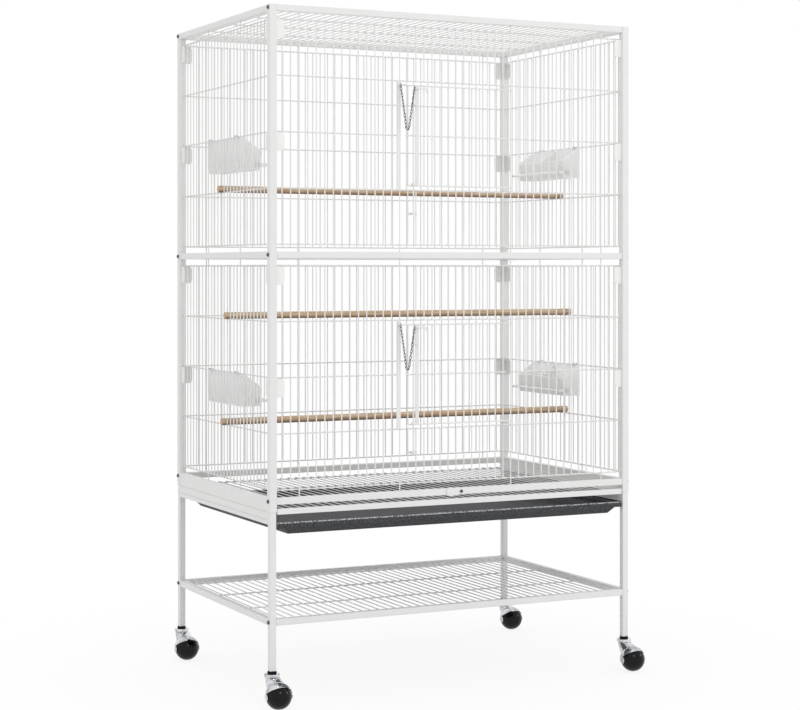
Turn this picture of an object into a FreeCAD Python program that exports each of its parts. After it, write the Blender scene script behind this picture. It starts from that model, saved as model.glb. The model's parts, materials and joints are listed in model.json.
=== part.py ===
import FreeCAD, Part
import math
import os
from FreeCAD import Vector

# A two-tier wire bird cage on a rolling stand. Millimetres, +Z up, +X to the right of the doors,
# the doors on the -Y side. The origin is on the floor, at the middle of the object's plan box.

# Overall size over the posts
cage_length = 811.0
cage_depth = 531.0
cage_height = 1346.0

# Corner posts, square tube closed at the top, reaching below the base rails
post_size = 15.0
post_wall = 0.9
post_tail = 14.5

# Legs, square tube that plugs into the foot of each post
leg_size = 13.0
leg_wall = 0.9
leg_foot = 67.0
leg_insert = 14.0

# Rails, square tube between the posts or legs, heights to their centres
rail_size = 13.0
rail_wall = 0.9
mid_rail_height = 865.0
base_rail_height = 392.0
shelf_height = 160.5

# Wires, drawn with flat sides so that welded wires meet face to face
bar_wire = 2.4
row_wire = 2.8
wire_side_count = 4

# Panels, five rows each, upright bars counted along the front and back and along the sides
row_count = 5
row_margin = 14.0
row_end_gap = 1.0
end_bar_inset = 20.7
front_bar_count = 43
side_bar_count = 27
front_pin_bars = (2, 14, 28, 40)
side_pin_bars = (8, 18)

# Clip plates on the posts, below the top and the middle row of each panel
clip_height = 36.0
clip_thickness = 1.5
clip_gap = 0.2
clip_overlap = 3.0
clip_corner = 5.0
clip_rows = (2, 4)

# Doorways, between two bars and two rows of the front panels
latch_jamb = 14
hinge_jamb = 28
sill_row = 1
cut_row = 2
lintel_row = 3
jamb_strip_width = 9.0
strip_thickness = 1.5

# Doors, hung by rolled eyes on the hinge jamb
door_gap = 9.0
door_overhang = 6.0
door_tab_reach = 13.0
hinge_clearance = 0.1
door_strip_width = 8.0
door_strip_bar = 16

# Lock rods, sliding in guides on the doors and reaching below the sill, with a keeper on the panel
rod_diameter = 3.0
rod_side_count = 8
rod_reach = 41.0
rod_below_bar = 6.0
rod_from_bar = 8.0
rod_drop = 25.0
rod_handle = 30.0
rod_hook = 8.0
rod_clearance = 0.1
guide_wall = 1.8
guide_height = 5.0
guide_gap = 2.0
keeper_gap = 3.0
keeper_clearance = 0.6

# Safety chains between the door and the rod handle
chain_diameter = 2.2
chain_gap = 0.6
chain_depth = 86.0
chain_turn_radius = 3.0
chain_tab_width = 14.0
chain_tab_end = 2.0
chain_side_count = 6
chain_turn_count = 3

# Slide-out parts: angles on both sides carry the floor grate and the tray
angle_thickness = 1.2
angle_reach = 14.0
ledge_height = 12.0
tray_rail_height = 24.0
slide_clearance = 0.2
slide_side_gap = 1.0
slide_set_back = 0.8
slide_back_gap = 3.0

# Floor grate and the flat bar along its front
grate_bar_count = 42
grate_cross_count = 3
grate_front_height = 11.5
grate_front_thickness = 2.5
grate_front_rise = 0.5

# Tray, folded sheet: ledges on the runners, a low rim, an apron along the front and sloping walls below
tray_sheet = 1.0
tray_rim = 3.0
tray_well = 20.0
tray_slope = 11.0
tray_ledge = 16.0
tray_apron = 8.5

# Turning tag on the front base rail that keeps the grate and tray in
tag_place = 8.0
tag_top_radius = 6.0
tag_low_radius = 9.0
tag_reach = 24.0
tag_thickness = 1.5
tag_gap = 0.3
tag_screw_diameter = 4.0
tag_screw_head_diameter = 7.0
tag_screw_head_height = 2.2
tag_screw_side_count = 8
tag_screw_clearance = 0.1

# Top grille and shelf
grille_bar_count = 42
top_cross_count = 3
shelf_cross_count = 2

# Perches, wooden dowels between two bars of the side panels: tier, row and the bar before the gap
perch_diameter = 14.0
perch_lift = 7.0
perch_overhang = 9.5
perch_notch_gap = 0.2
perch_places = (("upper", 1, 13), ("lower", 3, 11), ("lower", 1, 12))

# Feed cups, hooked over the middle row of each side panel; shares of the height between two rows,
# of the cup's height and of its lip's height
cup_width = 196.0
cup_foot_share = 0.39
cup_floor_depth = 40.0
cup_mouth_depth = 44.0
cup_lip_share = 0.56
cup_wall = 2.0
cup_row = 2
cup_hook_bars = 4
cup_hook_width = 10.0
cup_hook_drop = 6.0
cup_perch_diameter = 6.0
cup_perch_reach = 16.0
cup_perch_share = 0.3
cup_perch_side_count = 6
cup_arm_weld = 12.0

# Ball casters, trailing towards the front
ball_diameter = 50.0
ball_facet_count = 12
ball_ring_count = 5
ball_gap = 0.5
hood_sheet = 1.4
hood_set_back = 5.0
hood_tilt = 38.0
hood_ear_radius = 7.5
hood_ear_side_count = 6
caster_trail = 34.0
turned_side_count = 10
neck_foot_rise = 7.0
neck_foot_radius = 11.0
neck_top_radius = 13.5
neck_side_count = 8
flange_radius = 15.0
flange_height = 4.5
collar_radius = 9.0
collar_height = 4.2
swivel_gap = 0.3
stem_diameter = 8.0
stem_length = 36.0
stem_clearance = 0.05
socket_plug = 40.0
socket_clearance = 0.1
axle_diameter = 6.0
axle_clearance = 0.05

# Places shared by several pieces
post_x = (cage_length - post_size) / 2
post_y = (cage_depth - post_size) / 2
top_rail_height = cage_height - rail_size / 2
sill_top = base_rail_height + rail_size / 2
post_foot = base_rail_height - rail_size / 2 - post_tail
runner_foot = post_foot - tray_rail_height
tray_floor = runner_foot - tray_well
leg_inner = post_x - leg_size / 2
rail_inner_y = post_y - rail_size / 2
row_set_in = (bar_wire + row_wire) / 2
door_bar_y = -(bar_wire / 2 + hinge_clearance + row_wire / 2)
door_front_y = door_bar_y - row_wire / 2
door_strip_front = door_front_y - strip_thickness
rod_bore = rod_diameter + 2 * rod_clearance
guide_half = rod_bore / 2 + guide_wall
rod_y = door_strip_front - guide_half
chain_y = rod_y - guide_half - chain_gap - chain_diameter / 2
ball_radius = ball_diameter / 2
flange_top = leg_foot - collar_height - swivel_gap
flange_foot = flange_top - flange_height
front_reach = post_y + caster_trail + ball_radius
back_reach = max(post_y + flange_radius, cage_depth / 2)
cage_middle = Vector(0, (front_reach - back_reach) / 2, 0)
corners = ("front_left", "front_right", "back_right", "back_left")
corner_signs = {"front_left": (-1, -1), "front_right": (1, -1), "back_right": (1, 1), "back_left": (-1, 1)}
sides = ("front", "right", "back", "left")


def span(middle, size):
    """The two ends of a size about its middle."""
    return middle - size / 2, middle + size / 2


def block(x, y, z):
    """Rectangular solid between two values on each axis."""
    return Part.makeBox(x[1] - x[0], y[1] - y[0], z[1] - z[0], Vector(x[0], y[0], z[0]))


def polygon(middle, along, across, count, facing):
    """Corners of a regular outline square to a direction, with one flat towards the facing vector."""
    beside = along.cross(facing).normalize()
    reach = across / 2 / math.cos(math.pi / count)
    angles = [math.pi * (2 * k + 1) / count for k in range(count)]
    return [middle + facing * (reach * math.cos(a)) + beside * (reach * math.sin(a)) for a in angles]


def flat_face(points):
    """Flat face inside a closed outline of points."""
    return Part.Face(Part.makePolygon(points + points[:1]))


def stacked(rings):
    """Solid with flat sides from each ring of points to the next, closed at the first and the last."""
    faces = [flat_face(rings[0]), flat_face(rings[-1])]
    for ring, after in zip(rings, rings[1:]):
        for j in range(len(ring)):
            faces.append(flat_face([ring[j - 1], ring[j], after[j], after[j - 1]]))
    return Part.makeSolid(Part.makeShell(faces))


def prism(start, end, across, count, facing):
    """Straight many-sided rod from start to end, with one flat towards the facing vector."""
    return flat_face(polygon(start, end - start, across, count, facing)).extrude(end - start)


def turned_rod(start, end, diameter):
    """Turned piece drawn with few sides, its corners on the diameter."""
    across = diameter * math.cos(math.pi / turned_side_count)
    return turned_bore(start, end, across)


def turned_bore(start, end, diameter):
    """Cutter for a bore that a turned piece fits, its flats on the diameter."""
    facing = Vector(0, 1, 0)
    return prism(start, end, diameter, turned_side_count, facing)


def round_pin(start, end, diameter):
    """Round pin from start to end, or the cutter for its bore."""
    return Part.makeCylinder(diameter / 2, start.distanceToPoint(end), start, end - start)


def wire(start, end, thickness, facing):
    """Straight wire."""
    return prism(Vector(*start), Vector(*end), thickness, wire_side_count, Vector(*facing))


def tube(x, y, z, wall, along):
    """Rectangular tube, open at both ends of one axis."""
    bore = [(low + wall, high - wall) for low, high in (x, y, z)]
    bore[along] = (x, y, z)[along]
    return block(x, y, z).cut(block(*bore))


def plate(points, start, sweep):
    """Flat plate: an outline of points moved to a start and swept along a vector."""
    outline = [start + point for point in points]
    return Part.Face(Part.makePolygon(outline + outline[:1])).extrude(sweep)


def turned(shape, side):
    """A shape drawn for the front side, carried to another side of the cage."""
    quarter = sides.index(side)
    out = post_y if quarter % 2 == 0 else post_x
    copy = shape.copy()
    copy.translate(Vector(0, -out, 0))
    copy.rotate(Vector(), Vector(0, 0, 1), 90 * quarter)
    return copy


def save(name, *solids):
    """Writes one named piece, made of one solid or of several welded ones."""
    shape = solids[0].copy() if len(solids) == 1 else Part.makeCompound(list(solids))
    shape.translate(cage_middle)
    shape.exportStep(os.path.join("parts", name + ".step"))


# Frame


def post(corner, clips):
    """Corner post with the clip plates of the two panels that meet there."""
    sx, sy = corner_signs[corner]
    x, y = span(sx * post_x, post_size), span(sy * post_y, post_size)
    bore_size = post_size - 2 * post_wall
    bore_x, bore_y = span(sx * post_x, bore_size), span(sy * post_y, bore_size)
    bore = block(bore_x, bore_y, (post_foot, cage_height - post_wall))
    save("post_" + corner, block(x, y, (post_foot, cage_height)).cut(bore), *clips)


def leg(corner):
    """Leg from the caster socket up into the post."""
    sx, sy = corner_signs[corner]
    x, y = span(sx * post_x, leg_size), span(sy * post_y, leg_size)
    save("leg_" + corner, tube(x, y, (leg_foot, post_foot + leg_insert), leg_wall, 2))


def long_rail(name, sign, z, half_length):
    """Front or back rail between two posts or legs; the front base rail has the tag screw's hole."""
    y = span(sign * post_y, rail_size)
    rail = tube((-half_length, half_length), y, span(z, rail_size), rail_wall, 0)
    if name == "front_base_rail":
        rail = rail.cut(tag_shank(front_face, front_face + rail_wall, 0))
    save(name, rail)


def side_rail(name, sign, z, half_length, *welded):
    """Side rail between a front and a back post or leg, with anything welded to it."""
    save(name, tube(span(sign * post_x, rail_size), (-half_length, half_length), z, rail_wall, 1), *welded)


def angle_strip(sign, half_length, foot, height):
    """Angle along a side: an upright flange on the rail's inner face, a flat one inwards at its foot."""
    face = sign * leg_inner
    inwards = -sign
    steps = (
        (0, 0),
        (angle_reach, 0),
        (angle_reach, angle_thickness),
        (angle_thickness, angle_thickness),
        (angle_thickness, height),
        (0, height),
    )
    points = [Vector(inwards * across, 0, up) for across, up in steps]
    return plate(points, Vector(face, -half_length, foot), Vector(0, 2 * half_length, 0))


# Wire panels


def bar_places(count, post_distance):
    """Places of upright bars between two posts, evenly spaced."""
    first = -post_distance / 2 + end_bar_inset
    pitch = (post_distance - 2 * end_bar_inset) / (count - 1)
    return [first + pitch * k for k in range(count)]


def row_heights(low_rail_top, high_rail_foot):
    """Heights of the rows of a tier, evenly spaced between its rails."""
    first, last = low_rail_top + row_margin, high_rail_foot - row_margin
    return [first + (last - first) * k / (row_count - 1) for k in range(row_count)]


tiers = {
    "upper": (mid_rail_height + rail_size / 2, cage_height - rail_size),
    "lower": (sill_top, mid_rail_height - rail_size / 2),
}
tier_rows = {tier: row_heights(*rails) for tier, rails in tiers.items()}
long_places = bar_places(front_bar_count, 2 * post_x)
side_places = bar_places(side_bar_count, 2 * post_y)
hinge_x = long_places[hinge_jamb]
rod_x = long_places[latch_jamb + 1] + rod_from_bar


def upright_runs(index, pins, rails, rows, has_doorway):
    """The one or two stretches of an upright bar, which a doorway interrupts."""
    low, high = rails if index in pins else (rows[0] - row_wire / 2, rows[-1] + row_wire / 2)
    if has_doorway and latch_jamb < index < hinge_jamb:
        return [(low, rows[sill_row] + row_wire / 2), (rows[lintel_row] - row_wire / 2, high)]
    return [(low, high)]


def panel_solids(places, pins, rails, rows, half_row, has_doorway):
    """Upright bars with the rows welded behind them; pins are the bars that reach both rails."""
    solids = []
    for index, x in enumerate(places):
        for low, high in upright_runs(index, pins, rails, rows, has_doorway):
            if has_doorway and index == hinge_jamb:
                solids.append(round_pin(Vector(x, 0, low), Vector(x, 0, high), bar_wire))
            else:
                solids.append(wire((x, 0, low), (x, 0, high), bar_wire, (0, 1, 0)))
    for index, z in enumerate(rows):
        runs = [(-half_row, half_row)]
        if has_doorway and index == cut_row:
            runs = [
                (-half_row, places[latch_jamb] + bar_wire / 2),
                (places[hinge_jamb] - bar_wire / 2, half_row),
            ]
        solids += [wire((a, row_set_in, z), (b, row_set_in, z), row_wire, (0, 1, 0)) for a, b in runs]
    return solids


def clip_plates(half_gap, rows):
    """Clip plates at the left and the right end of a panel, in front of its end bars."""
    reach = end_bar_inset - post_size / 2 + bar_wire / 2 + clip_overlap
    front = -bar_wire / 2 - clip_gap - clip_thickness
    ends = []
    for sign in (-1, 1):
        outline = (
            (0, 0),
            (reach - clip_corner, 0),
            (reach, clip_corner),
            (reach, clip_height - clip_corner),
            (reach - clip_corner, clip_height),
            (0, clip_height),
        )
        points = [Vector(-sign * across, 0, up) for across, up in outline]
        feet = [rows[k] - row_wire / 2 - clip_height for k in clip_rows]
        starts = [Vector(sign * half_gap, front, z) for z in feet]
        ends.append([plate(points, start, Vector(0, clip_thickness, 0)) for start in starts])
    return ends


# Doors, lock rods and chains, drawn in the front panel's plane


def door_heights(rows):
    """Heights of a door's bottom, middle and top bars."""
    return rows[sill_row] + door_gap, rows[cut_row], rows[lintel_row] - door_gap


def rod_top(rows):
    """Height of the lock rod's handle with the rod raised."""
    return door_heights(rows)[2] - rod_below_bar


def rod_foot(rows):
    """Height of the lock rod's lower end with the rod raised."""
    return rows[sill_row] - rod_reach


def guide(x, y_back, z):
    """Strap guide for the lock rod: a square loop about the rod, its back on what carries it."""
    height = (z, z + guide_height)
    loop = block(x, (rod_y - guide_half, y_back), height)
    return loop.cut(block(span(rod_x, rod_bore), span(rod_y, rod_bore), height))


def keeper(front, z):
    """Keeper for the lowered rod: a plate across two bars with a strap about the rod."""
    height = (z, z + guide_height)
    bars = long_places[latch_jamb + 1], long_places[latch_jamb + 2]
    plate_front = front - strip_thickness
    room = rod_diameter / 2 + keeper_clearance
    outer = room + guide_wall
    strap_y = (rod_y - outer, plate_front)
    return [
        block((bars[0] - bar_wire / 2, bars[1] + bar_wire / 2), (plate_front, front), height),
        block((rod_x - outer, rod_x - room), strap_y, height),
        block((rod_x + room, rod_x + outer), strap_y, height),
        block((rod_x - room, rod_x + room), (rod_y - outer, rod_y - room), height),
    ]


def jamb_pieces(rows):
    """Strip on the latch jamb, and the keeper below the doorway that the lowered rod enters."""
    jamb_x = long_places[latch_jamb]
    front = -bar_wire / 2
    right = jamb_x + bar_wire / 2
    strip = block(
        (right - jamb_strip_width, right),
        (front - strip_thickness, front),
        (rows[sill_row], rows[lintel_row]),
    )
    return [strip, *keeper(front, rod_foot(rows) - keeper_gap - guide_height)]


def door_solids(rows):
    """Door: upright bars behind three cross bars, eyes on the hinge side, strip, guides and chain tab."""
    bottom, middle, top = door_heights(rows)
    places = long_places[latch_jamb + 1 : hinge_jamb]
    left = places[0] - door_overhang
    bar_y = door_bar_y + row_set_in
    low, high = bottom - row_wire / 2, top + row_wire / 2
    solids = [wire((x, bar_y, low), (x, bar_y, high), bar_wire, (0, 1, 0)) for x in places]
    right = places[-1] + door_overhang
    solids.append(wire((left, door_bar_y, middle), (right, door_bar_y, middle), row_wire, (0, 1, 0)))
    eye_inner = bar_wire / 2 + hinge_clearance
    tab_left = places[0] - door_tab_reach
    for z, start in ((bottom, left), (top, tab_left)):
        arm = wire((start, door_bar_y, z), (hinge_x, door_bar_y, z), row_wire, (0, 1, 0))
        foot, head = (Vector(hinge_x, 0, height) for height in span(z, row_wire))
        eye = turned_bore(foot, head, 2 * (eye_inner + row_wire))
        solids.append(arm.fuse(eye).cut(turned_bore(foot, head, 2 * eye_inner)).removeSplitter())
    strip_x = span(long_places[door_strip_bar], door_strip_width)
    solids.append(block(strip_x, (door_strip_front, door_front_y), (low, high)))
    handle_foot = rod_top(rows) - rod_diameter / 2 - rod_drop
    guide_x = (rod_x - guide_half, sum(strip_x) / 2)
    for z in (handle_foot - guide_gap - guide_height, bottom):
        solids.append(guide(guide_x, door_strip_front, z))
    tab_y = (chain_y - chain_diameter / 2, door_front_y)
    tab_x = (tab_left + row_wire - chain_tab_width, tab_left + row_wire)
    solids.append(block(tab_x, tab_y, span(top, row_wire)))
    return solids


def lock_rod(rows):
    """Rod bent over to a handle at the top, with a short downward hook at the handle's end."""
    top = rod_top(rows)
    bends = [
        Vector(rod_x, rod_y, rod_foot(rows)),
        Vector(rod_x, rod_y, top),
        Vector(rod_x + rod_handle, rod_y, top),
        Vector(rod_x + rod_handle, rod_y, top - rod_hook),
    ]
    foot = prism(bends[0], bends[1], rod_diameter, rod_side_count, Vector(0, 1, 0))
    section = min(foot.Faces, key=lambda face: face.CenterOfMass.z).OuterWire
    return Part.makePolygon(bends).makePipeShell([section], True, False, 1)


def chain(rows):
    """Chain hanging in a narrow V from the door's chain tab to the rod's handle."""
    tab_x = long_places[latch_jamb + 1] - door_tab_reach + row_wire - chain_tab_width + chain_tab_end
    left = Vector(tab_x, chain_y, door_heights(rows)[2] - row_wire / 2)
    right = Vector(rod_x, chain_y, rod_top(rows))
    middle = Vector((left.x + right.x) / 2, chain_y, left.z - chain_depth + chain_turn_radius)
    angles = []
    for end, side in ((left, 1), (right, -1)):
        reach = end - middle
        angles.append(math.atan2(reach.z, reach.x) + side * math.acos(chain_turn_radius / reach.Length))
    first, last = angles[0], angles[0] + (angles[1] - angles[0]) % (2 * math.pi)
    bends = [left]
    for k in range(chain_turn_count + 1):
        angle = first + (last - first) * k / chain_turn_count
        bends.append(middle + Vector(math.cos(angle), 0, math.sin(angle)) * chain_turn_radius)
    bends.append(right)
    bends[0] = left + (left - bends[1]).normalize() * chain_diameter
    first_run = prism(bends[0], bends[1], chain_diameter, chain_side_count, Vector(0, 1, 0))
    section = min(first_run.Faces, key=lambda face: face.CenterOfMass.distanceToPoint(bends[0])).OuterWire
    line = Part.makePolygon(bends).makePipeShell([section], True, False, 1)
    above = (left.z, left.z + chain_tab_width)
    return line.cut(block(span(left.x, chain_tab_width), span(chain_y, chain_tab_width), above))


# Floor grate, tray and tag

front_face = -post_y - rail_size / 2
slide_half = leg_inner - angle_thickness - slide_side_gap
slide_front = front_face + slide_set_back
slide_back = rail_inner_y - slide_back_gap
grate_cross_z = post_foot + angle_thickness + slide_clearance + row_wire / 2
grate_bar_z = grate_cross_z + row_set_in
grate_front_top = grate_bar_z + bar_wire / 2 + grate_front_rise
grate_front_foot = grate_front_top - grate_front_height


def spaced(count, low, high):
    """Evenly spaced places strictly between two values."""
    return [low + (high - low) * (k + 1) / (count + 1) for k in range(count)]


def grate_solids():
    """Sliding floor grate: wires along Y on cross wires, with a flat bar along the front."""
    bar_back = slide_front + grate_front_thickness
    last = slide_back - row_wire / 2
    front = block((-slide_half, slide_half), (slide_front, bar_back), (grate_front_foot, grate_front_top))
    solids = [front]
    for x in spaced(grate_bar_count, -slide_half, slide_half):
        solids.append(wire((x, bar_back, grate_bar_z), (x, slide_back, grate_bar_z), bar_wire, (0, 0, 1)))
    for k in range(grate_cross_count):
        y = bar_back + (last - bar_back) * (k + 1) / grate_cross_count
        ends = (-slide_half, y, grate_cross_z), (slide_half, y, grate_cross_z)
        solids.append(wire(*ends, row_wire, (0, 0, 1)))
    return solids


def tray_ring(inset, z):
    """Rectangular section of the tray's well."""
    half = slide_half - tray_ledge - inset
    front, back = slide_front + inset, slide_back - inset
    ends = [(-half, front), (half, front), (half, back), (-half, back), (-half, front)]
    return Part.makePolygon([Vector(x, y, z) for x, y in ends])


def tray_well_solid(sheet, ledge):
    """Tray's well, upright as far as the apron and sloping below, drawn in by the thickness of the sheet."""
    rings = [
        tray_ring(sheet, ledge),
        tray_ring(sheet, ledge - tray_apron),
        tray_ring(tray_slope + sheet, tray_floor + sheet),
    ]
    return Part.makeLoft(rings, True, True)


def tray_solid():
    """Folded pan: ledges that ride on the runners, a low rim, a front apron and sloping walls."""
    ledge = runner_foot + angle_thickness + slide_clearance
    rim = ledge + tray_rim
    apron_back = slide_front + tray_sheet
    outer = block((-slide_half, slide_half), (slide_front, slide_back), (ledge, rim))
    apron = block((-slide_half, slide_half), (slide_front, apron_back), (ledge - tray_apron, ledge))
    outer = outer.fuse([apron, tray_well_solid(0, ledge)])
    half, back = slide_half - tray_sheet, slide_back - tray_sheet
    inner_ledge = ledge + tray_sheet
    inner = block((-half, half), (apron_back, back), (inner_ledge, rim))
    return outer.cut(inner.fuse(tray_well_solid(tray_sheet, inner_ledge))).removeSplitter()


def tag_shank(y_from, y_to, clearance):
    """Tag screw's shank, or its hole with a clearance, along Y."""
    start, end = (Vector(tag_place, y, base_rail_height) for y in (y_from, y_to))
    return round_pin(start, end, tag_screw_diameter + 2 * clearance)


def tag_solid():
    """Pear-shaped tag, swung level to the left, free of the grate."""
    back = front_face - tag_gap
    start = Vector(tag_place, back, base_rail_height)
    lean = math.asin((tag_low_radius - tag_top_radius) / tag_reach)

    def rim_point(along, radius, angle):
        return start + Vector(-along - radius * math.cos(angle), 0, radius * math.sin(angle))

    upper, lower = math.pi / 2 + lean, -math.pi / 2 - lean
    near_up, near_low = (rim_point(0, tag_top_radius, a) for a in (upper, lower))
    far_up, far_low = (rim_point(tag_reach, tag_low_radius, a) for a in (upper, lower))
    edges = [
        Part.Arc(near_low, rim_point(0, tag_top_radius, math.pi), near_up).toShape(),
        Part.makeLine(near_up, far_up),
        Part.Arc(far_up, rim_point(tag_reach, tag_low_radius, 0), far_low).toShape(),
        Part.makeLine(far_low, near_low),
    ]
    body = Part.Face(Part.Wire(edges)).extrude(Vector(0, -tag_thickness, 0))
    return body.cut(tag_shank(back - tag_thickness, back, tag_screw_clearance))


def tag_screw():
    """Screw that the tag turns on, held in the front wall of the base rail."""
    head_foot = front_face - tag_thickness - 2 * tag_gap
    shank = tag_shank(head_foot, front_face + rail_wall, 0)
    head_end = Vector(tag_place, head_foot, base_rail_height)
    head_start = head_end - Vector(0, tag_screw_head_height, 0)
    head = prism(head_start, head_end, tag_screw_head_diameter, tag_screw_side_count, Vector(0, 0, 1))
    return head.fuse(shank).removeSplitter()


# Grilles, perches and cups


def grille_solids(z, cross_count):
    """Flat grille between the rails of one level: wires along Y on cross wires along X."""
    solids = []
    for x in spaced(grille_bar_count, -leg_inner, leg_inner):
        solids.append(wire((x, -rail_inner_y, z), (x, rail_inner_y, z), bar_wire, (0, 0, 1)))
    cross_z = z - row_set_in
    for y in spaced(cross_count, -rail_inner_y, rail_inner_y):
        solids.append(wire((-leg_inner, y, cross_z), (leg_inner, y, cross_z), row_wire, (0, 0, 1)))
    return solids


def perch_solid(tier, row, bar):
    """Dowel that reaches out between two bars of each side panel, notched over their row."""
    row_z = tier_rows[tier][row]
    y = (side_places[bar] + side_places[bar + 1]) / 2
    half = post_x + perch_overhang
    start, end = (Vector(x, y, row_z + perch_lift) for x in (-half, half))
    dowel = round_pin(start, end, perch_diameter)
    below = (row_z - perch_diameter, row_z + row_wire / 2)
    for sign in (-1, 1):
        notch = span(sign * (post_x - row_set_in), row_wire + 2 * perch_notch_gap)
        dowel = dowel.cut(block(notch, span(y, perch_diameter), below))
    return dowel


def cup_solids(rows, shift):
    """Feed cup behind a side panel: two bowls, hooks over the row and a perch along the front."""
    back = row_set_in + row_wire / 2
    row_top = rows[cup_row] + row_wire / 2
    foot = rows[cup_row - 1] + (rows[cup_row] - rows[cup_row - 1]) * cup_foot_share
    lip = foot + (row_top - foot) * cup_lip_share
    half = cup_width / 2
    profile = (
        (0, 0),
        (cup_floor_depth, 0),
        (cup_mouth_depth, lip - foot),
        (cup_wall, row_top - foot),
        (0, row_top - foot),
    )
    points = [Vector(0, across, up) for across, up in profile]
    body = plate(points, Vector(shift - half, back, foot), Vector(cup_width, 0, 0))
    bowl_width = half - cup_wall - cup_wall / 2
    inner = (
        (cup_wall, cup_wall),
        (cup_floor_depth - cup_wall, cup_wall),
        (cup_mouth_depth - cup_wall, lip - foot),
        (cup_mouth_depth - cup_wall, row_top - foot),
        (cup_wall, row_top - foot),
    )
    hollow = [Vector(0, across, up) for across, up in inner]
    for left in (shift - half + cup_wall, shift + cup_wall / 2):
        body = body.cut(plate(hollow, Vector(left, back, foot), Vector(bowl_width, 0, 0)))
    solids = [body]
    pitch = side_places[1] - side_places[0]
    tip_front = bar_wire / 2
    hook_y = (tip_front - cup_wall, back + cup_wall)
    for step in (-cup_hook_bars, cup_hook_bars):
        x = span(shift + step * pitch, cup_hook_width)
        solids.append(block(x, hook_y, (row_top, row_top + cup_wall)))
        solids.append(block(x, (hook_y[0], tip_front), (row_top - cup_hook_drop, row_top)))
    rod_y_place = back + cup_floor_depth + cup_perch_reach
    arm_y = (back + cup_floor_depth - cup_arm_weld, rod_y_place + cup_perch_diameter / 2)
    arm_z = span(foot + (lip - foot) * cup_perch_share, cup_perch_diameter)
    for x in ((shift - half - cup_wall, shift - half), (shift + half, shift + half + cup_wall)):
        solids.append(block(x, arm_y, arm_z))
    rod_ends = [Vector(shift + end, rod_y_place, sum(arm_z) / 2) for end in (-half, half)]
    solids.append(prism(*rod_ends, cup_perch_diameter, cup_perch_side_count, Vector(0, 0, 1)))
    return solids


# Casters


def cap_reach(radius):
    """Distance from a faceted ball's middle to the flat caps at the ends of its axle."""
    return radius / math.cos(math.pi / ball_facet_count) * math.cos(math.pi / (2 * ball_ring_count))


def faceted_ball(middle, radius):
    """Ball with flat facets in rings about the axle, the flats of its widest ring on the radius."""
    corner_radius = radius / math.cos(math.pi / ball_facet_count)
    rings = []
    for k in range(ball_ring_count):
        polar = math.pi * (k + 0.5) / ball_ring_count
        reach, along = corner_radius * math.sin(polar), corner_radius * math.cos(polar)
        angles = [math.pi * (2 * j + 1) / ball_facet_count for j in range(ball_facet_count)]
        rings.append([middle + Vector(along, reach * math.cos(a), reach * math.sin(a)) for a in angles])
    return stacked(rings)


def hood_solid(x, y):
    """Caster hood: shell with an ear at each end of the axle, swivel neck, flange and stem."""
    middle = Vector(x, y - caster_trail, ball_radius)
    inside = ball_radius / math.cos(math.pi / ball_facet_count) + ball_gap
    outside = inside + hood_sheet
    wide = 2 * outside
    keep = block((-wide, wide), (-wide, wide), (hood_set_back, wide))
    keep.rotate(Vector(), Vector(1, 0, 0), -hood_tilt)
    keep.translate(middle)
    reach = Vector(wide, 0, 0)
    ears = prism(middle - reach, middle + reach, 2 * hood_ear_radius, hood_ear_side_count, Vector(0, 0, 1))
    shell = faceted_ball(middle, outside).common(keep.fuse(ears))
    foot, top = Vector(x, y, flange_foot), Vector(x, y, flange_top)
    neck_ends = (Vector(x, y, ball_radius + neck_foot_rise), neck_foot_radius), (foot, neck_top_radius)
    rings = [
        polygon(end, top - foot, 2 * radius, neck_side_count, Vector(0, 1, 0)) for end, radius in neck_ends
    ]
    dome = shell.fuse(stacked(rings)).cut(faceted_ball(middle, inside))
    flange = prism(foot, top, 2 * flange_radius, turned_side_count, Vector(0, 1, 0))
    stem = round_pin(top, Vector(x, y, leg_foot + stem_length), stem_diameter)
    half = Vector((cap_reach(inside) + cap_reach(outside)) / 2, 0, 0)
    axle = round_pin(middle - half, middle + half, axle_diameter)
    return dome.fuse([flange, stem, axle]).removeSplitter()


def ball_solid(x, y):
    """Caster ball, bored for its axle."""
    middle = Vector(x, y - caster_trail, ball_radius)
    reach = Vector(ball_diameter, 0, 0)
    bore = turned_bore(middle - reach, middle + reach, axle_diameter + 2 * axle_clearance)
    return faceted_ball(middle, ball_radius).cut(bore)


def socket_solid(x, y):
    """Plastic socket in the foot of a leg: square plug inside the tube, round collar below it."""
    plug_size = leg_size - 2 * leg_wall - 2 * socket_clearance
    plug = block(span(x, plug_size), span(y, plug_size), (leg_foot, leg_foot + socket_plug))
    foot, top = Vector(x, y, leg_foot - collar_height), Vector(x, y, leg_foot)
    collar = turned_rod(foot, top, 2 * collar_radius)
    bore_end = top + Vector(0, 0, stem_length + 2 * swivel_gap)
    return plug.fuse(collar).cut(turned_bore(foot, bore_end, stem_diameter + 2 * stem_clearance))


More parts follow.
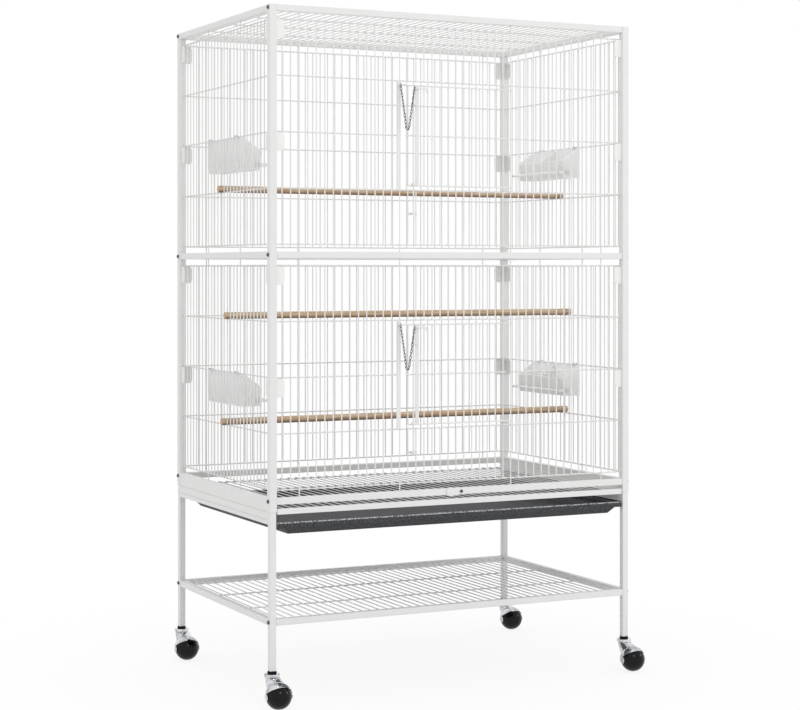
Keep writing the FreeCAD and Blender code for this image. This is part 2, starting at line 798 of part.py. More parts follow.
def build_frame():
    """Posts with their clips, legs and rails."""
    clips = {corner: [] for corner in corners}
    for k, side in enumerate(sides):
        half_gap = (post_x if k % 2 == 0 else post_y) - post_size / 2
        for tier in tiers:
            left, right = clip_plates(half_gap, tier_rows[tier])
            clips[corners[k]] += [turned(clip, side) for clip in left]
            clips[corners[(k + 1) % len(corners)]] += [turned(clip, side) for clip in right]
    for corner in corners:
        post(corner, clips[corner])
        leg(corner)
    post_inner = post_x - post_size / 2
    levels = (("top", top_rail_height), ("mid", mid_rail_height), ("base", base_rail_height))
    for sign, place in ((-1, "front"), (1, "back")):
        for level, z in levels:
            long_rail(f"{place}_{level}_rail", sign, z, post_inner)
        long_rail(f"{place}_shelf_rail", sign, shelf_height, leg_inner)
    post_clear = post_y - post_size / 2
    leg_clear = post_y - leg_size / 2
    for sign, place in ((-1, "left"), (1, "right")):
        ledge = angle_strip(sign, post_clear, post_foot, ledge_height)
        runner = angle_strip(sign, leg_clear, runner_foot, post_foot - runner_foot)
        side_rail(f"{place}_top_rail", sign, span(top_rail_height, rail_size), post_clear)
        side_rail(f"{place}_mid_rail", sign, span(mid_rail_height, rail_size), post_clear)
        side_rail(f"{place}_base_rail", sign, (post_foot, sill_top), post_clear, ledge)
        side_rail(f"{place}_tray_rail", sign, (runner_foot, post_foot), leg_clear, runner)
        side_rail(f"{place}_shelf_rail", sign, span(shelf_height, rail_size), leg_clear)


def build_panels():
    """Eight wire panels, the two doors in the front ones, and the flat grilles."""
    for k, side in enumerate(sides):
        is_long = k % 2 == 0
        places, pins = (long_places, front_pin_bars) if is_long else (side_places, side_pin_bars)
        half_row = (post_x if is_long else post_y) - post_size / 2 - row_end_gap
        for tier, rails in tiers.items():
            rows = tier_rows[tier]
            solids = panel_solids(places, pins, rails, rows, half_row, side == "front")
            if side == "front":
                solids += jamb_pieces(rows)
            save(f"{tier}_{side}_panel", *[turned(solid, side) for solid in solids])
    for tier, rows in tier_rows.items():
        save(f"{tier}_door", *[turned(solid, "front") for solid in door_solids(rows)])
        save(f"{tier}_lock_rod", turned(lock_rod(rows), "front"))
        save(f"{tier}_chain", turned(chain(rows), "front"))
    save("top_grille", *grille_solids(top_rail_height, top_cross_count))
    save("shelf_grille", *grille_solids(shelf_height, shelf_cross_count))


def build_inside():
    """Grate, tray, tag, perches and cups."""
    save("floor_grate", *grate_solids())
    save("tray", tray_solid())
    save("latch_tag", tag_solid())
    save("tag_screw", tag_screw())
    save("perches", *[perch_solid(*place) for place in perch_places])
    half_pitch = (side_places[1] - side_places[0]) / 2
    for tier, rows in tier_rows.items():
        for side, shift in (("left", -half_pitch), ("right", half_pitch)):
            solids = [turned(solid, side) for solid in cup_solids(rows, shift)]
            save(f"{tier}_{side}_cup", *solids)


def build_casters():
    """Sockets, hoods and balls at the four legs."""
    places = {corner: (sx * post_x, sy * post_y) for corner, (sx, sy) in corner_signs.items()}
    save("leg_sockets", *[socket_solid(x, y) for x, y in places.values()])
    for corner, (x, y) in places.items():
        save("caster_hood_" + corner, hood_solid(x, y))
        save("caster_ball_" + corner, ball_solid(x, y))


os.makedirs("parts", exist_ok=True)
build_frame()
build_panels()
build_inside()
build_casters()
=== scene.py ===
import json
import math

import bmesh
import bpy
from bmesh.types import BMEdge, BMVert
from bpy.props import FloatProperty, FloatVectorProperty, IntProperty, PointerProperty
from mathutils import Matrix, Vector


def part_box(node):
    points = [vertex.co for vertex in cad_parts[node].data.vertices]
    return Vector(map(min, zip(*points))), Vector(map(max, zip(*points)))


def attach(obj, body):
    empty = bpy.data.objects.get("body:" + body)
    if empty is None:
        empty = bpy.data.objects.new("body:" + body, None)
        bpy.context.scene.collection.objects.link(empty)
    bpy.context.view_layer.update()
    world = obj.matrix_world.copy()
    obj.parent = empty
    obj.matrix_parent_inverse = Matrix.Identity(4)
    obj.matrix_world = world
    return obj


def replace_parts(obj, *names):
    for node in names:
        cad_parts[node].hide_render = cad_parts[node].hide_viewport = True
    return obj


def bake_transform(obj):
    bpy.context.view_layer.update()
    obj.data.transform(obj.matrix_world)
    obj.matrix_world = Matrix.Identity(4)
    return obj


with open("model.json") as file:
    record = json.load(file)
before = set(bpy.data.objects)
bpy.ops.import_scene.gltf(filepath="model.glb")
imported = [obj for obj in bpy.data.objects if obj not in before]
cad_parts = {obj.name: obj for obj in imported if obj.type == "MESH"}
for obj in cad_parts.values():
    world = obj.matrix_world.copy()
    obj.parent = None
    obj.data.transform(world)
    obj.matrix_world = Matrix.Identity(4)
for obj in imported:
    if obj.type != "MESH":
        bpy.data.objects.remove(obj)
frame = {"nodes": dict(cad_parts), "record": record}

bl_info = {
    "name": "Wire bird cage",
    "version": (1, 0, 0),
    "blender": (4, 5, 0),
    "location": "View3D > Sidebar > Cage",
    "description": "Dresses a two-tier wire bird cage on its rolling stand",
    "category": "Object",
}

MM = 0.001
MERGE = 0.002 * MM
FLAT = math.radians(1)
SHARP = math.radians(35)
SMOOTH = math.radians(50)
QUARTER = math.radians(90)
FULL_TURN = math.radians(360)
UP = Vector((0, 0, 1))
RIGHT = Vector((1, 0, 0))
BACK = Vector((0, 1, 0))
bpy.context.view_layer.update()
CORNERS = ("front_left", "front_right", "back_right", "back_left")
SIDES = ("front", "right", "back", "left")
TIERS = ("upper", "lower")
LEVELS = ("top", "mid", "base", "shelf")
SIDE_LEVELS = ("top", "mid", "base", "tray", "shelf")
SLOTS = {part["node"]: part["material_slot"] for part in frame["record"]["subparts"]}
BODIES = {
    node: body for body, nodes in frame["record"]["behaviour"]["bodies"].items() for node in nodes
}
FINISHES = {}

# What tells a node's solids apart by their boxes
WIRE_WIDEST = 3.5 * MM
WIRE_OVAL = 1.3
WIRE_SLENDER = 8
STRIP_SHORTEST = 50 * MM
ROD_SHORTEST = 100 * MM
FITTING_LONGEST = 30 * MM

# Faces round turned forms, and steps along bends
FINE_SIDES = 20
BAR_SIDES = 16
PIN_SIDES = 24
CAP_SIDES = 32
RING_SIDES = 48
BALL_ROUNDS = 64
BALL_ROWS = 40
LINK_SIDES = 6
LINK_STEPS = 8
BEND_STEP = math.radians(15)

# Shares of a piece's own size
WIRE_RIM = 0.15
SCREW_CROWN = 0.72
SCREW_RIM = 0.16
SOCKET_DEPTH = 0.55
RIVET_CROWN = 0.8
FRONT_BAR_EDGE = 1.5

EYE_TURN = math.radians(345)
HANDLE_RADIUS = 1.5 * MM

# Stage, in metres and watts
FLOOR_HALF = 6
FLOOR_FADE = (0.5, 1.1)
FLOOR_WHITE = (0.88, 1.0)
SKY_LIGHT = (0.89, 1.0)
LAMP_AIM = Vector((0, 0, 0.7))
LAMPS = (
    ("key_lamp", (-0.6, -3.4, 3.0), 0.8, 18),
    ("fill_lamp", (3.0, -1.6, 1.6), 0.7, 10),
    ("top_lamp", (0, 0.4, 3.8), 1.2, 12),
)
CAMERA = {"sensor_width": 36, "lens": 85.94, "shift_y": -0.1069}
CAMERA_PLACE = (-1.783, -3.6335, 0.8368)
CAMERA_TURN = (QUARTER, 0, -0.454)


def linear(hex_colour):
    """Linear colour with full alpha from an sRGB hex value."""
    shares = [int(hex_colour[k : k + 2], 16) / 255 for k in (1, 3, 5)]
    return [s / 12.92 if s <= 0.04045 else ((s + 0.055) / 1.055) ** 2.4 for s in shares] + [1.0]


def length(name, description, millimetres):
    """A length that a user can change."""
    size = millimetres * MM
    return FloatProperty(
        name=name, description=description, default=size, unit="LENGTH", precision=5
    )


def tilt(name, description, degrees):
    """An angle that a user can change."""
    turn = math.radians(degrees)
    return FloatProperty(name=name, description=description, default=turn, subtype="ANGLE")


def colour(name, description, hex_colour):
    """A colour that a user can change."""
    return FloatVectorProperty(
        name=name, description=description, default=linear(hex_colour), size=4, subtype="COLOR"
    )


class CageSizes(bpy.types.PropertyGroup):
    """Sizes of the finer forms, beyond those that come with the frame."""

    tube_edge: length("Tube edge", "Rounding along the edges of the square tubes", 1.4)
    plate_edge: length("Plate edge", "Rounding along the edges of flat plates and straps", 0.4)
    wire_sides: IntProperty(name="Wire sides", description="Faces round each wire", default=12)
    rod_bend: length("Rod bend", "Radius of the lock rod's bends", 4.5)
    rod_hook: length("Rod hook", "Drop of the hook at the end of the lock rod's handle", 8.0)
    link_length: length("Link length", "Outer length of a chain link", 9.2)
    link_width: length("Link width", "Outer width of a chain link", 5.2)
    link_wire: length("Link wire", "Thickness of a chain link's wire", 1.3)
    chain_turn: length("Chain turn", "Radius of the turn at the foot of the chain", 3.0)
    rail_crease: length("Rail crease", "Drop of the crease below the top of a tray rail", 15.0)
    ledge_height: length("Ledge height", "Height of the angle that carries the grate", 12.0)
    sheet: length("Angle sheet", "Thickness of the angles that carry grate and tray", 1.2)
    tray_sheet: length("Tray sheet", "Thickness of the tray's sheet", 1.0)
    tray_fold: length("Tray fold", "Radius of the tray's folds", 2.0)
    tray_ledge: length("Tray ledge", "Width of the ledges that ride on the runners", 16.0)
    tray_lip: length("Tray lip", "Width of the fold along the tray's front and back", 1.6)
    tray_slope: length("Tray slope", "How far the tray's lower walls lean in", 11.0)
    tray_apron: length("Tray apron", "Drop of the apron along the tray's front", 8.5)
    tray_rim: length("Tray rim", "Height of the rim above the ledges", 3.0)
    tray_hem: length("Tray hem", "Diameter of the rolled hem along the tray's front", 3.0)
    tag_shank: length("Tag shank", "Diameter of the screw that the tag turns on", 4.0)
    strap_wall: length("Strap wall", "Thickness of the keeper's strap", 1.8)
    strap_plate: length("Strap plate", "Thickness of the keeper's plate", 1.5)
    strap_width: length("Strap width", "Outer width of the keeper's strap", 7.8)
    cup_wall: length("Cup wall", "Wall of the feed cups", 2.0)
    cup_edge: length("Cup edge", "Rounding along the edges of the feed cups", 0.8)
    dowel_edge: length("Dowel edge", "Rounding at the ends of the perches", 0.8)
    screw_width: length("Screw width", "Diameter of the frame screws' heads", 8.4)
    screw_height: length("Screw height", "Height of the frame screws' heads", 2.8)
    ball_width: length("Ball width", "Diameter of the caster balls", 50.0)
    ball_groove: length("Ball groove", "Depth of the mould line round a caster ball", 0.35)
    hood_gap: length("Hood gap", "Gap between a ball and the inside of its hood", 0.9)
    hood_sheet: length("Hood sheet", "Thickness of the hood's sheet", 1.1)
    hood_set_back: length("Hood set back", "How far behind the axle the hood's mouth lies", 5.0)
    hood_tilt: tilt("Hood tilt", "Lean of the hood's mouth", 38)
    hood_ear: length("Hood ear", "Radius of the ears that carry the axle", 7.5)
    rivet_width: length("Rivet width", "Diameter of the rivet heads on the axle", 9.0)
    rivet_reach: length("Rivet reach", "From the ball's middle to the face of a rivet head", 27.3)
    shoulder_spread: tilt("Shoulder spread", "Spread of the shoulder below the neck", 42)
    neck_width: length("Neck width", "Diameter of the swivel neck at its top", 27.0)
    flange_width: length("Flange width", "Diameter of the flange on top of the neck", 30.0)
    flange_height: length("Flange height", "Thickness of the flange", 6.0)
    collar_height: length("Collar height", "Height of the collar below each leg", 4.2)
    swivel_gap: length("Swivel gap", "Gap between collar and flange", 0.3)
    plug_width: length("Plug width", "Width of the sockets' square plugs", 10.0)
    stem_width: length("Stem width", "Diameter of the caster stem", 8.0)
    turned_edge: length("Turned edge", "Rounding at the rims of turned pieces", 1.0)


class CageColours(bpy.types.PropertyGroup):
    """Colours of the finishes."""

    paint: colour("Paint", "White powder coat", "#E6E6E5")
    paint_shade: colour("Paint shade", "White powder coat in its thicker spots", "#E0E0DF")
    # Painted light: a white lighter than the paint, so the clip plates look lit.
    clip: colour("Clip", "White of the clip plates, lightened as painted light", "#ECECEB")
    hammer_dark: colour("Hammer dark", "Hollows of the hammertone paint", "#37383B")
    hammer_light: colour("Hammer light", "Crowns of the hammertone paint", "#5B5C5F")
    # Painted highlight: the hem's hammertone, far lighter than the tray's, stands in for light
    # caught along the hem.
    hem_highlight_hollow: colour("Hem highlight hollow", "Hollows of that paint on the hem, lightened as painted highlight", "#4C4D50")
    hem_highlight_crown: colour("Hem highlight crown", "Crowns of that paint on the hem, lightened as painted highlight", "#E2E3E5")
    plate: colour("Chrome", "Bright plate on the casters", "#DCDDDF")
    # Painted reflection: the darker colour of the clouds on the chrome.
    plate_painted_reflection: colour("Chrome painted reflection", "Darker clouds painted on the plate as blurred reflections", "#A8AAAF")
    ball: colour("Ball", "Black of the caster balls", "#060607")
    collar: colour("Collar", "Black of the leg sockets", "#161617")
    wood_light: colour("Light wood", "Early wood of the perches", "#D8C5AA")
    wood_dark: colour("Dark wood", "Late wood of the perches", "#A57C57")
    # Painted shade: the darker wood of the perches' undersides.
    wood_painted_shade: colour("Wood in painted shade", "Underside of the perches, darkened as painted shade", "#7B573C")
    cup: colour("Cup", "Milky plastic of the feed cups", "#FAFAF9")
    chain: colour("Chain", "Zinc plate of the chains", "#74767A")
    screw: colour("Screw", "Black oxide of the screws", "#626366")
    floor: colour("Floor", "Pale studio floor", "#F2F2F2")


# Materials


def add_node(tree, kind, sockets=None, **settings):
    """Adds a node with its settings; a socket's entry is a value or the output that feeds it."""
    node = tree.nodes.new(kind)
    for key, value in settings.items():
        setattr(node, key, value)
    for key, value in (sockets or {}).items():
        if isinstance(value, bpy.types.NodeSocket):
            tree.links.new(value, node.inputs[key])
        else:
            node.inputs[key].default_value = value
    return node


def new_material(name):
    """An empty node material, its tree and its object coordinates."""
    material = bpy.data.materials.new(name)
    material.use_nodes = True
    material.node_tree.nodes.clear()
    place = add_node(material.node_tree, "ShaderNodeTexCoord").outputs["Object"]
    return material, material.node_tree, place


def surface(material, base, roughness, more):
    """Gives a material its surface: colour, roughness and further sockets."""
    tree = material.node_tree
    sockets = {"Base Color": base, "Roughness": roughness, **more}
    shader = add_node(tree, "ShaderNodeBsdfPrincipled", sockets)
    add_node(tree, "ShaderNodeOutputMaterial", {"Surface": shader.outputs["BSDF"]})
    return material


def per_metre(millimetres):
    """Texture scale that gives a pattern of that size."""
    return 1 / (millimetres * MM)


def noise(tree, place, millimetres, detail, roughness=0.5):
    """Shares of a noise whose clouds have that size."""
    sockets = {"Vector": place, "Scale": per_metre(millimetres)}
    sockets |= {"Detail": detail, "Roughness": roughness}
    return add_node(tree, "ShaderNodeTexNoise", sockets).outputs["Fac"]


def ranged(tree, value, start=(0.0, 1.0), end=(0.0, 1.0), **settings):
    """A value carried over from one range to another."""
    names = ("From Min", "From Max", "To Min", "To Max")
    sockets = {"Value": value, **dict(zip(names, (*start, *end)))}
    return add_node(tree, "ShaderNodeMapRange", sockets, **settings).outputs["Result"]


def relief(tree, height, strength, millimetres):
    """Normal of a surface with bumps of that height."""
    sockets = {"Height": height, "Strength": strength, "Distance": millimetres * MM}
    return add_node(tree, "ShaderNodeBump", sockets).outputs["Normal"]


def joined(tree, operation, first, second):
    """Two values joined by an operation."""
    sockets = {0: first, 1: second}
    return add_node(tree, "ShaderNodeMath", sockets, operation=operation).outputs["Value"]


def blended(tree, factor, first, second):
    """Colour between two others."""
    mix = add_node(tree, "ShaderNodeMix", {0: factor, 6: first, 7: second}, data_type="RGBA")
    return mix.outputs[2]


def powder_coat(colours):
    """White powder coat, baked: satin, with a fine orange peel and slightly thicker spots."""
    material, tree, place = new_material("powder_coat_baked_white")
    spots = noise(tree, place, millimetres=60, detail=3.0)
    peel = noise(tree, place, millimetres=1.6, detail=2.0)
    base = blended(tree, spots, colours.paint_shade, colours.paint)
    gloss = ranged(tree, spots, start=(0.3, 0.7), end=(0.34, 0.44))
    skin = relief(tree, peel, strength=0.12, millimetres=0.05)
    return surface(material, base, gloss, {"IOR": 1.5, "Normal": skin})


def clip_white_painted_light(colours):
    """Clip plates in a white lighter than the frame's paint, as painted light where the cage shades
    them: matt, with faint clouds.
    """
    material, tree, place = new_material("clip_white_lightened_painted_light")
    clouds = noise(tree, place, millimetres=12, detail=3.0)
    return surface(material, colours.clip, ranged(tree, clouds, end=(0.38, 0.56)), {"IOR": 1.53})


def hammertone(name, hollow, crown):
    """Grey hammertone paint: drawn into cells of some millimetres, darker in their hollows."""
    material, tree, place = new_material(name)
    sockets = {"Vector": place, "Scale": per_metre(millimetres=2.4), "Smoothness": 0.5}
    cells = add_node(tree, "ShaderNodeTexVoronoi", sockets, feature="SMOOTH_F1").outputs["Distance"]
    flow = noise(tree, place, millimetres=2.2, detail=4.0)
    tone = ranged(tree, joined(tree, "MULTIPLY", cells, flow), start=(0.05, 0.35), end=(1.0, 0.0))
    dents = relief(tree, tone, strength=0.35, millimetres=0.15)
    base = blended(tree, tone, hollow, crown)
    more = {"Specular IOR Level": 0.06, "Normal": dents}
    return surface(material, base, roughness=0.48, more=more)


def chrome(colours):
    """Bright chrome on pressed steel: a faintly uneven mirror, with darker clouds painted in as
    blurred reflections.
    """
    material, tree, place = new_material("chrome_plate_pressed_steel")
    waves = noise(tree, place, millimetres=14, detail=2.0)
    # Painted reflection: the darker clouds in the plate's colour stand in for blurred reflections
    # of darker things.
    clouds = noise(tree, place, millimetres=20, detail=1.0)
    thin = ranged(tree, clouds, start=(0.4, 0.65))
    base = blended(tree, thin, colours.plate, colours.plate_painted_reflection)
    gloss = ranged(tree, waves, end=(0.05, 0.16))
    swell = relief(tree, waves, strength=0.1, millimetres=0.3)
    return surface(material, base, gloss, {"Metallic": 1.0, "Normal": swell})


def moulded_black(name, base, gloss, grain_mm, shine):
    """Moulded black plastic: deep and glossy from a polished mould, satin from an etched one."""
    material, tree, place = new_material(name)
    grain = noise(tree, place, grain_mm, detail=5.0)
    roughness = ranged(tree, grain, start=(0.35, 0.65), end=gloss)
    skin = relief(tree, grain, strength=0.05, millimetres=0.05)
    return surface(material, base, roughness, {"Specular IOR Level": shine, "Normal": skin})


def dowel_wood(colours):
    """Bare turned hardwood: matt, straight grain with darker flecks, paler on top and darker
    underneath as painted shade set by which way the surface faces.
    """
    material, tree, place = new_material("hardwood_turned_bare")
    mapping = add_node(tree, "ShaderNodeMapping", {"Vector": place, "Scale": (0.06, 1.0, 1.0)})
    grain = noise(tree, mapping.outputs["Vector"], millimetres=2.5, detail=6.0, roughness=0.65)
    tone = ranged(tree, grain, start=(0.35, 0.7))
    wood = blended(tree, tone, colours.wood_light, colours.wood_dark)
    # Painted shade: surfaces facing down take the darker wood, and those facing up keep the grain's
    # colour.
    facing = add_node(tree, "ShaderNodeNewGeometry").outputs["Normal"]
    upwards = add_node(tree, "ShaderNodeSeparateXYZ", {"Vector": facing}).outputs["Z"]
    top_light_share = ranged(tree, upwards, start=(-1.0, 0.1))
    base = blended(tree, top_light_share, colours.wood_painted_shade, wood)
    pores = relief(tree, grain, strength=0.25, millimetres=0.15)
    return surface(material, base, roughness=0.62, more={"Normal": pores})


def cup_plastic(colours):
    """Moulded polypropylene: milky, passes and scatters light, with faint clouds from the flow."""
    material, tree, place = new_material("polypropylene_moulded_milky")
    clouds = noise(tree, place, millimetres=25, detail=3.0)
    milk = {
        "IOR": 1.49,
        "Transmission Weight": 0.08,
        "Subsurface Weight": 0.75,
        "Subsurface Radius": (1.0, 1.0, 1.0),
        "Subsurface Scale": 20 * MM,
    }
    return surface(material, colours.cup, ranged(tree, clouds, end=(0.28, 0.48)), milk)


def plated_steel(name, base, metallic, gloss):
    """Small plated steel pieces: a cloudy, slightly uneven metal gloss."""
    material, tree, place = new_material(name)
    clouds = noise(tree, place, millimetres=2.0, detail=4.0)
    return surface(material, base, ranged(tree, clouds, end=gloss), {"Metallic": metallic})


def finishes():
    """The materials by the record's slots, and those of the panel clips and the tray's hem."""
    colours = bpy.context.scene.cage_colours
    return {
        "white_powder_coat": powder_coat(colours),
        "clip_painted_light": clip_white_painted_light(colours),
        "grey_hammertone": hammertone(
            "hammertone_paint_dark_grey", colours.hammer_dark, colours.hammer_light
        ),
        "tray_hem": hammertone(
            "hammertone_paint_painted_highlight", colours.hem_highlight_hollow, colours.hem_highlight_crown
        ),
        "chrome_plate": chrome(colours),
        "black_ball": moulded_black(
            "phenolic_moulded_black", colours.ball, gloss=(0.04, 0.08), grain_mm=30, shine=0.22
        ),
        "black_collar": moulded_black(
            "nylon_moulded_black", colours.collar, gloss=(0.4, 0.55), grain_mm=1.2, shine=0.1
        ),
        "turned_wood": dowel_wood(colours),
        "milky_plastic": cup_plastic(colours),
        "zinc_chain": plated_steel(
            "zinc_plate_drawn_wire", colours.chain, metallic=1.0, gloss=(0.24, 0.42)
        ),
        "dark_screw": plated_steel(
            "black_oxide_steel", colours.screw, metallic=0.8, gloss=(0.35, 0.5)
        ),
    }


# Mesh helpers


def corners(node):
    """Lowest and highest corner of a CAD node."""
    return [Vector(corner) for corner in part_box(node)]


def middle_of(node):
    """Middle of a CAD node's box."""
    low, high = corners(node)
    return (low + high) / 2


def box_of(verts):
    """Lowest and highest corner of some vertices."""
    spans = [[v.co[k] for v in verts] for k in range(3)]
    return Vector([min(span) for span in spans]), Vector([max(span) for span in spans])


def merged(node):
    """A CAD node's mesh as a bmesh, its corners merged and its flat faces made whole."""
    mesh = bmesh.new()
    mesh.from_mesh(frame["nodes"][node].data)
    bmesh.ops.remove_doubles(mesh, verts=mesh.verts, dist=MERGE)
    bmesh.ops.dissolve_limit(mesh, angle_limit=FLAT, verts=mesh.verts, edges=mesh.edges)
    return mesh


def groups(mesh):
    """The separate solids of a merged mesh, each as a list of its vertices."""
    left = set(mesh.verts)
    found = []
    while left:
        group = [left.pop()]
        for vert in group:
            near = {edge.other_vert(vert) for edge in vert.link_edges} & left
            left -= near
            group += near
        found.append(group)
    return found


def solid_boxes(node):
    """The boxes of a CAD node's solids, each as its lowest and highest corner."""
    mesh = merged(node)
    boxes = [box_of(group) for group in groups(mesh)]
    mesh.free()
    return boxes


def is_wire(low, high):
    """Whether a solid's box is that of a straight wire."""
    thin, middle, long = sorted(high - low)
    is_round = middle < WIRE_WIDEST and middle < WIRE_OVAL * thin
    return is_round and long > WIRE_SLENDER * middle


def volume(box):
    """Volume of a box given by its corners."""
    return math.prod(box[1] - box[0])


def round_edges(mesh, edges, width, segments=3):
    """Rounds edges of a mesh."""
    bmesh.ops.bevel(
        mesh,
        geom=edges,
        offset=width,
        offset_type="OFFSET",
        segments=segments,
        profile=0.5,
        affect="EDGES",
        clamp_overlap=True,
        material=-1,
    )


def edges_of(verts):
    """All edges between or at some vertices."""
    return list({edge for vert in verts for edge in vert.link_edges})


def faces_of(verts):
    """All faces at some vertices."""
    return list({face for vert in verts for face in vert.link_faces})


def only(geom, kind):
    """The elements of one kind in what a bmesh operator returns."""
    return [item for item in geom if isinstance(item, kind)]


def turn_to(direction, rest=UP):
    """Turn that carries a resting direction to another."""
    return rest.rotation_difference(direction).to_matrix().to_4x4()


def add_block(mesh, low, high, edge):
    """Block with rounded edges between two corners."""
    low, high = Vector(low), Vector(high)
    place = Matrix.LocRotScale((low + high) / 2, None, high - low)
    made = bmesh.ops.create_cube(mesh, size=1.0, matrix=place)
    round_edges(mesh, edges_of(made["verts"]), edge)


def add_cone(mesh, start, end, width, end_width, sides):
    """Plain round bar or cone from start to end; returns its vertices."""
    along = end - start
    return bmesh.ops.create_cone(
        mesh,
        cap_ends=True,
        cap_tris=False,
        segments=sides,
        radius1=width / 2,
        radius2=end_width / 2,
        depth=along.length,
        matrix=Matrix.Translation((start + end) / 2) @ turn_to(along),
    )["verts"]


def add_turned(mesh, start, end, width, sides, edge, end_width=None):
    """Round bar from start to end, its two rims rounded."""
    bar = add_cone(mesh, start, end, width, end_width or width, sides)
    rims = [e for e in edges_of(bar) if any(len(f.verts) == sides for f in e.link_faces)]
    round_edges(mesh, rims, edge, segments=1 if sides < FINE_SIDES else 3)


def add_wire(mesh, low, high, sides):
    """Round wire that fills a long box."""
    size = high - low
    width = min(size)
    middle = (low + high) / 2
    reach = Vector([side / 2 if side == max(size) else 0 for side in size])
    add_turned(mesh, middle - reach, middle + reach, width, sides, WIRE_RIM * width)


def add_bent_rod(mesh, start, steps, width, sides):
    """Round rod from a start: a step is a way to go, or the middle, axis and angle of a bend."""
    before = set(mesh.verts)
    place = Matrix.Translation(start) @ turn_to(steps[0])
    ring = bmesh.ops.create_circle(
        mesh, cap_ends=False, segments=sides, radius=width / 2, matrix=place
    )["verts"]
    edges = edges_of(ring)
    bmesh.ops.contextual_create(mesh, geom=edges)
    for step in steps:
        if isinstance(step, Vector):
            made = bmesh.ops.extrude_edge_only(mesh, edges=edges)["geom"]
            bmesh.ops.translate(mesh, vec=step, verts=only(made, BMVert))
        else:
            middle, axis, angle = step
            made = bmesh.ops.spin(
                mesh,
                geom=edges + list({v for e in edges for v in e.verts}),
                cent=middle,
                axis=axis,
                angle=angle,
                steps=round(angle / BEND_STEP),
            )["geom_last"]
        edges = only(made, BMEdge)
    bmesh.ops.contextual_create(mesh, geom=edges)
    bmesh.ops.recalc_face_normals(mesh, faces=faces_of(set(mesh.verts) - before))


def add_copy(mesh, node, edge, wanted=lambda low, high: True):
    """Copy of a node's solids whose boxes are wanted, with their sharp edges rounded."""
    copy = merged(node)
    dropped = [group for group in groups(copy) if not wanted(*box_of(group))]
    bmesh.ops.delete(copy, geom=[vert for group in dropped for vert in group], context="VERTS")
    sharp = [e for e in copy.edges if len(e.link_faces) == 2 and e.calc_face_angle() > SHARP]
    round_edges(copy, sharp, edge, segments=2)
    carrier = bpy.data.meshes.new("carrier")
    copy.to_mesh(carrier)
    copy.free()
    mesh.from_mesh(carrier)
    bpy.data.meshes.remove(carrier)


def new_object(mesh, name, slot, finish=None):
    """A finished object from a bmesh, smooth over its rounded edges."""
    data = bpy.data.meshes.new(name)
    mesh.to_mesh(data)
    mesh.free()
    data.shade_smooth()
    data.set_sharp_from_angle(angle=SMOOTH)
    data.materials.append(FINISHES[finish or slot])
    piece = bpy.data.objects.new(name, data)
    bpy.context.scene.collection.objects.link(piece)
    even = piece.modifiers.new("Even normals", "WEIGHTED_NORMAL")
    even.keep_sharp = True
    return piece


def trim(mesh, name, node, finish=None):
    """A finished piece that rides with a CAD node."""
    piece = new_object(mesh, name, SLOTS[node], finish)
    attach(piece, BODIES[node])
    return piece


def stand_for(mesh, name, node):
    """A finished piece that rides with a CAD node and replaces it."""
    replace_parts(trim(mesh, name, node), node)


# Frame


def tube_piece(node, box, sizes):
    """Square tube with rounded edges that fills a box."""
    mesh = bmesh.new()
    add_block(mesh, *box, sizes.tube_edge)
    stand_for(mesh, node + "_tube", node)


def post_piece(node, sizes):
    """Corner post with rounded edges, and its clip plates; returns the post's box."""
    low, high = max(solid_boxes(node), key=volume)
    tube_piece(node, (low, high), sizes)
    half = (high.z - low.z) / 2
    mesh = bmesh.new()
    add_copy(mesh, node, sizes.plate_edge, lambda foot, top: top.z - foot.z < half)
    # The clip plates take that lighter white: painted light, so they look lit in the cage's shaded
    # corners.
    trim(mesh, node + "_clips", node, "clip_painted_light")
    return low, high


def add_angle(mesh, corner, across, height, along, sizes):
    """Angle of bent sheet: an upright flange at a corner and a flat one from its foot."""
    sheet = math.copysign(sizes.sheet, across)
    for width, rise in ((sheet, height), (across, sizes.sheet)):
        left, right = sorted((corner.x, corner.x + width))
        end = (right, corner.y + along, corner.z + rise)
        add_block(mesh, (left, corner.y, corner.z), end, sizes.plate_edge)


def side_rail_piece(node, rail_size, sizes):
    """Side rail, with the angle that the base and tray rails carry on their inner face."""
    low, high = corners(node)
    size = high - low
    reach = size.x - rail_size
    is_left = low.x < 0
    mesh = bmesh.new()
    if reach > sizes.sheet:
        face = low.x + rail_size if is_left else high.x - rail_size
        height = size.z if "tray" in node else sizes.ledge_height
        across = reach if is_left else -reach
        add_angle(mesh, Vector((face, low.y, low.z)), across, height, size.y, sizes)
        inner = high if is_left else low
        inner.x = face
    if "tray" in node:
        crease = high.z - sizes.rail_crease
        add_block(mesh, low, (high.x, high.y, crease), sizes.tube_edge)
        low.z = crease
    add_block(mesh, low, high, sizes.tube_edge)
    stand_for(mesh, node + "_tube", node)


def add_screw(mesh, foot, out, width, height):
    """Screw head: a low dome with a round socket, on a foot point and facing out."""
    head = add_cone(mesh, foot, foot + out * height, width, width * SCREW_CROWN, PIN_SIDES)
    top = max(faces_of(head), key=lambda f: f.calc_center_median().dot(out))
    bmesh.ops.inset_region(mesh, faces=[top], thickness=width * SCREW_RIM)
    socket = bmesh.ops.extrude_face_region(mesh, geom=[top])["geom"]
    bmesh.ops.translate(mesh, vec=-out * height * SOCKET_DEPTH, verts=only(socket, BMVert))
    bmesh.ops.delete(mesh, geom=[top], context="FACES_ONLY")


